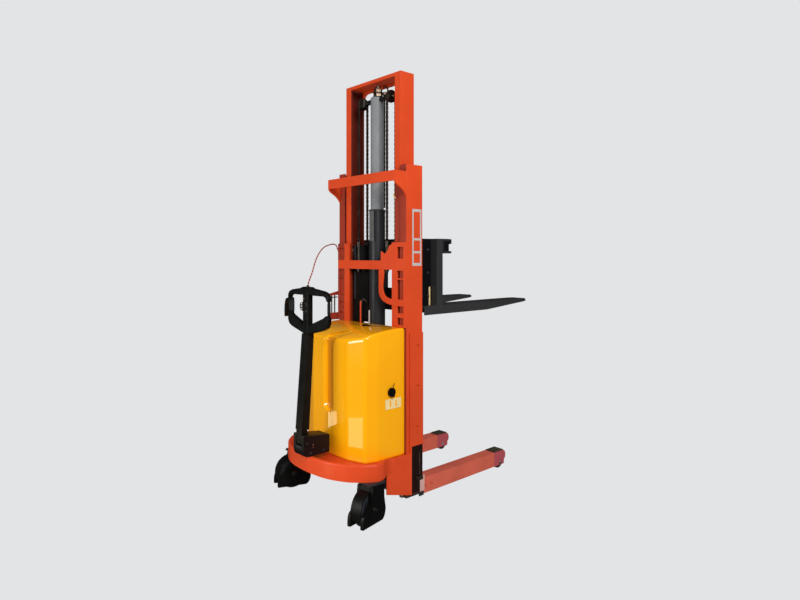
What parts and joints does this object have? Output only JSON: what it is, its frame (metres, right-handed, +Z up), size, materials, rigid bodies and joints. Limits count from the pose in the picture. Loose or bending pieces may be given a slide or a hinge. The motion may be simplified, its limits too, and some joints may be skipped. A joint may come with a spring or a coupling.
{
  "type": "walkie stacker",
  "caption": "Walk-behind pallet stacker with a two-stage mast, fork carriage, support legs, hooded rear chassis, tiller and swivel casters.",
  "frame": {"origin": "centre of the overall length and width, on the floor", "axes": "+X to the truck's right, +Y forward to the fork tips, +Z up"},
  "size_m": [0.8262, 1.597, 2.344],
  "materials": {
    "orange_paint": "semi-gloss",
    "yellow_hood": "gloss",
    "black_paint": "semi-gloss",
    "black_plastic": "matte",
    "bright_steel": "ground",
    "dark_steel": "oiled",
    "chain_steel": "oiled",
    "cast_metal": "painted casting",
    "battery_mass": "matte case",
    "wheel_polyurethane": "satin",
    "hose_rubber": "matte",
    "cable_sleeve": "satin"
  },
  "bodies": {
    "chassis": {"mast_channel_left": "orange_paint", "mast_channel_right": "orange_paint", "upper_crossbar": "orange_paint", "mast_face_plate": "orange_paint", "grab_handle": "orange_paint", "mast_base": "orange_paint", "side_plate_left": "orange_paint", "side_plate_right": "orange_paint", "rear_skirt": "orange_paint", "chassis_deck": "orange_paint", "support_leg_left": "orange_paint", "support_leg_right": "orange_paint", "hood": "yellow_hood", "battery": "battery_mass", "power_pack": "cast_metal", "motor_controller": "black_plastic", "lift_cylinder": "black_paint", "chain_anchor_left": "dark_steel", "chain_anchor_right": "dark_steel", "tiller_bracket": "black_paint", "load_axle_left": "bright_steel", "load_axle_right": "bright_steel", "caster_bearing_left": "black_paint", "caster_bearing_right": "black_paint", "hydraulic_hose": "hose_rubber", "tiller_cable": "cable_sleeve", "chain_rear_left": "chain_steel", "chain_rear_right": "chain_steel"},
    "inner_mast": {"inner_channel_left": "orange_paint", "inner_channel_right": "orange_paint", "inner_top_beam": "orange_paint", "inner_tie_bar": "orange_paint", "piston_rod": "bright_steel", "sheave_crosshead": "cast_metal", "chain_front_left": "chain_steel", "chain_front_right": "chain_steel"},
    "carriage": {"carriage_back_plate": "black_paint", "carriage_side_plate_left": "black_paint", "carriage_side_plate_right": "black_paint", "carriage_top_beam": "black_paint", "fork_left": "black_paint", "fork_right": "black_paint"},
    "sheave_left": {"chain_sheave_left": "dark_steel"},
    "sheave_right": {"chain_sheave_right": "dark_steel"},
    "mast_roller_left": {"mast_roller_left": "dark_steel"},
    "mast_roller_right": {"mast_roller_right": "dark_steel"},
    "carriage_roller_left": {"carriage_roller_left": "dark_steel"},
    "carriage_roller_right": {"carriage_roller_right": "dark_steel"},
    "load_roller_left": {"load_roller_left": "wheel_polyurethane"},
    "load_roller_right": {"load_roller_right": "wheel_polyurethane"},
    "caster_left": {"caster_yoke_left": "black_plastic"},
    "caster_right": {"caster_yoke_right": "black_plastic"},
    "caster_wheel_left": {"caster_wheel_left": "wheel_polyurethane"},
    "caster_wheel_right": {"caster_wheel_right": "wheel_polyurethane"},
    "tiller": {"tiller_arm": "black_plastic", "tiller_head": "black_plastic"},
    "brake_lever": {"brake_lever": "black_plastic"},
    "lift_button": {"lift_button": "black_plastic"},
    "lower_button": {"lower_button": "black_plastic"},
    "battery_switch": {"battery_switch": "black_plastic"}
  },
  "joints": [
    {"name": "mast_lift", "type": "slide", "parent": "chassis", "child": "inner_mast", "axis": [0, 0, 1], "range_m": [-0.465, 0.71], "deforming": ["chain_rear_left", "chain_rear_right"]},
    {"name": "carriage_lift", "type": "slide", "parent": "inner_mast", "child": "carriage", "axis": [0, 0, 1], "range_m": [-0.465, 0.71], "deforming": ["chain_front_left", "chain_front_right"]},
    {"name": "sheave_left_spin", "type": "hinge", "parent": "inner_mast", "child": "sheave_left", "pos_m": [-0.126, -0.2695, 2.232], "axis": [1, 0, 0], "range_deg": [-900, 1300]},
    {"name": "sheave_right_spin", "type": "hinge", "parent": "inner_mast", "child": "sheave_right", "pos_m": [0.126, -0.2695, 2.232], "axis": [1, 0, 0], "range_deg": [-900, 1300]},
    {"name": "mast_roller_left_spin", "type": "hinge", "parent": "inner_mast", "child": "mast_roller_left", "pos_m": [-0.269, -0.2555, 0.6], "axis": [1, 0, 0], "range_deg": [-600, 900]},
    {"name": "mast_roller_right_spin", "type": "hinge", "parent": "inner_mast", "child": "mast_roller_right", "pos_m": [0.269, -0.2555, 0.6], "axis": [1, 0, 0], "range_deg": [-600, 900]},
    {"name": "carriage_roller_left_spin", "type": "hinge", "parent": "carriage", "child": "carriage_roller_left", "pos_m": [-0.2145, -0.2555, 1.36], "axis": [1, 0, 0], "range_deg": [-750, 1100]},
    {"name": "carriage_roller_right_spin", "type": "hinge", "parent": "carriage", "child": "carriage_roller_right", "pos_m": [0.2145, -0.2555, 1.36], "axis": [1, 0, 0], "range_deg": [-750, 1100]},
    {"name": "load_roller_left_spin", "type": "hinge", "parent": "chassis", "child": "load_roller_left", "pos_m": [-0.245, 0.5035, 0.04], "axis": [1, 0, 0], "continuous": true},
    {"name": "load_roller_right_spin", "type": "hinge", "parent": "chassis", "child": "load_roller_right", "pos_m": [0.245, 0.5035, 0.04], "axis": [1, 0, 0], "continuous": true},
    {"name": "caster_left_swivel", "type": "hinge", "parent": "chassis", "child": "caster_left", "pos_m": [-0.333, -0.5885, 0.202], "axis": [0, 0, 1], "continuous": true},
    {"name": "caster_right_swivel", "type": "hinge", "parent": "chassis", "child": "caster_right", "pos_m": [0.333, -0.5885, 0.202], "axis": [0, 0, 1], "continuous": true},
    {"name": "caster_left_spin", "type": "hinge", "parent": "caster_left", "child": "caster_wheel_left", "pos_m": [-0.3418, -0.62134, 0.09], "axis": [0.9659, -0.2588, 0], "continuous": true},
    {"name": "caster_right_spin", "type": "hinge", "parent": "caster_right", "child": "caster_wheel_right", "pos_m": [0.3418, -0.62134, 0.09], "axis": [0.9659, 0.2588, 0], "continuous": true},
    {"name": "tiller_tilt", "type": "hinge", "parent": "chassis", "child": "tiller", "pos_m": [0, -0.7785, 0.37], "axis": [1, 0, 0], "range_deg": [0, 75], "stiffness_Nm_per_rad": 30, "springref_deg": -11.46},
    {"name": "brake_lever_squeeze", "type": "hinge", "parent": "tiller", "child": "brake_lever", "pos_m": [-0.191, -0.7415, 1.086], "axis": [0, 1, 0], "range_deg": [-8, 0], "stiffness_Nm_per_rad": 2},
    {"name": "lift_button_press", "type": "slide", "parent": "tiller", "child": "lift_button", "axis": [0, 1, 0], "range_m": [0, 0.003], "stiffness_N_per_m": 400},
    {"name": "lower_button_press", "type": "slide", "parent": "tiller", "child": "lower_button", "axis": [0, 1, 0], "range_m": [0, 0.003], "stiffness_N_per_m": 400},
    {"name": "battery_switch_turn", "type": "hinge", "parent": "chassis", "child": "battery_switch", "pos_m": [0.29, -0.4115, 0.62], "axis": [1, 0, 0], "range_deg": [0, 90]}
  ],
  "couplings": [
    {"joint": "carriage_lift", "follows": "mast_lift", "ratio": 1},
    {"joint": "sheave_left_spin", "follows": "mast_lift", "rad_per_m": 31.25},
    {"joint": "sheave_right_spin", "follows": "mast_lift", "rad_per_m": 31.25},
    {"joint": "mast_roller_left_spin", "follows": "mast_lift", "rad_per_m": 21.277},
    {"joint": "mast_roller_right_spin", "follows": "mast_lift", "rad_per_m": 21.277},
    {"joint": "carriage_roller_left_spin", "follows": "mast_lift", "rad_per_m": 26.667},
    {"joint": "carriage_roller_right_spin", "follows": "mast_lift", "rad_per_m": 26.667}
  ]
}
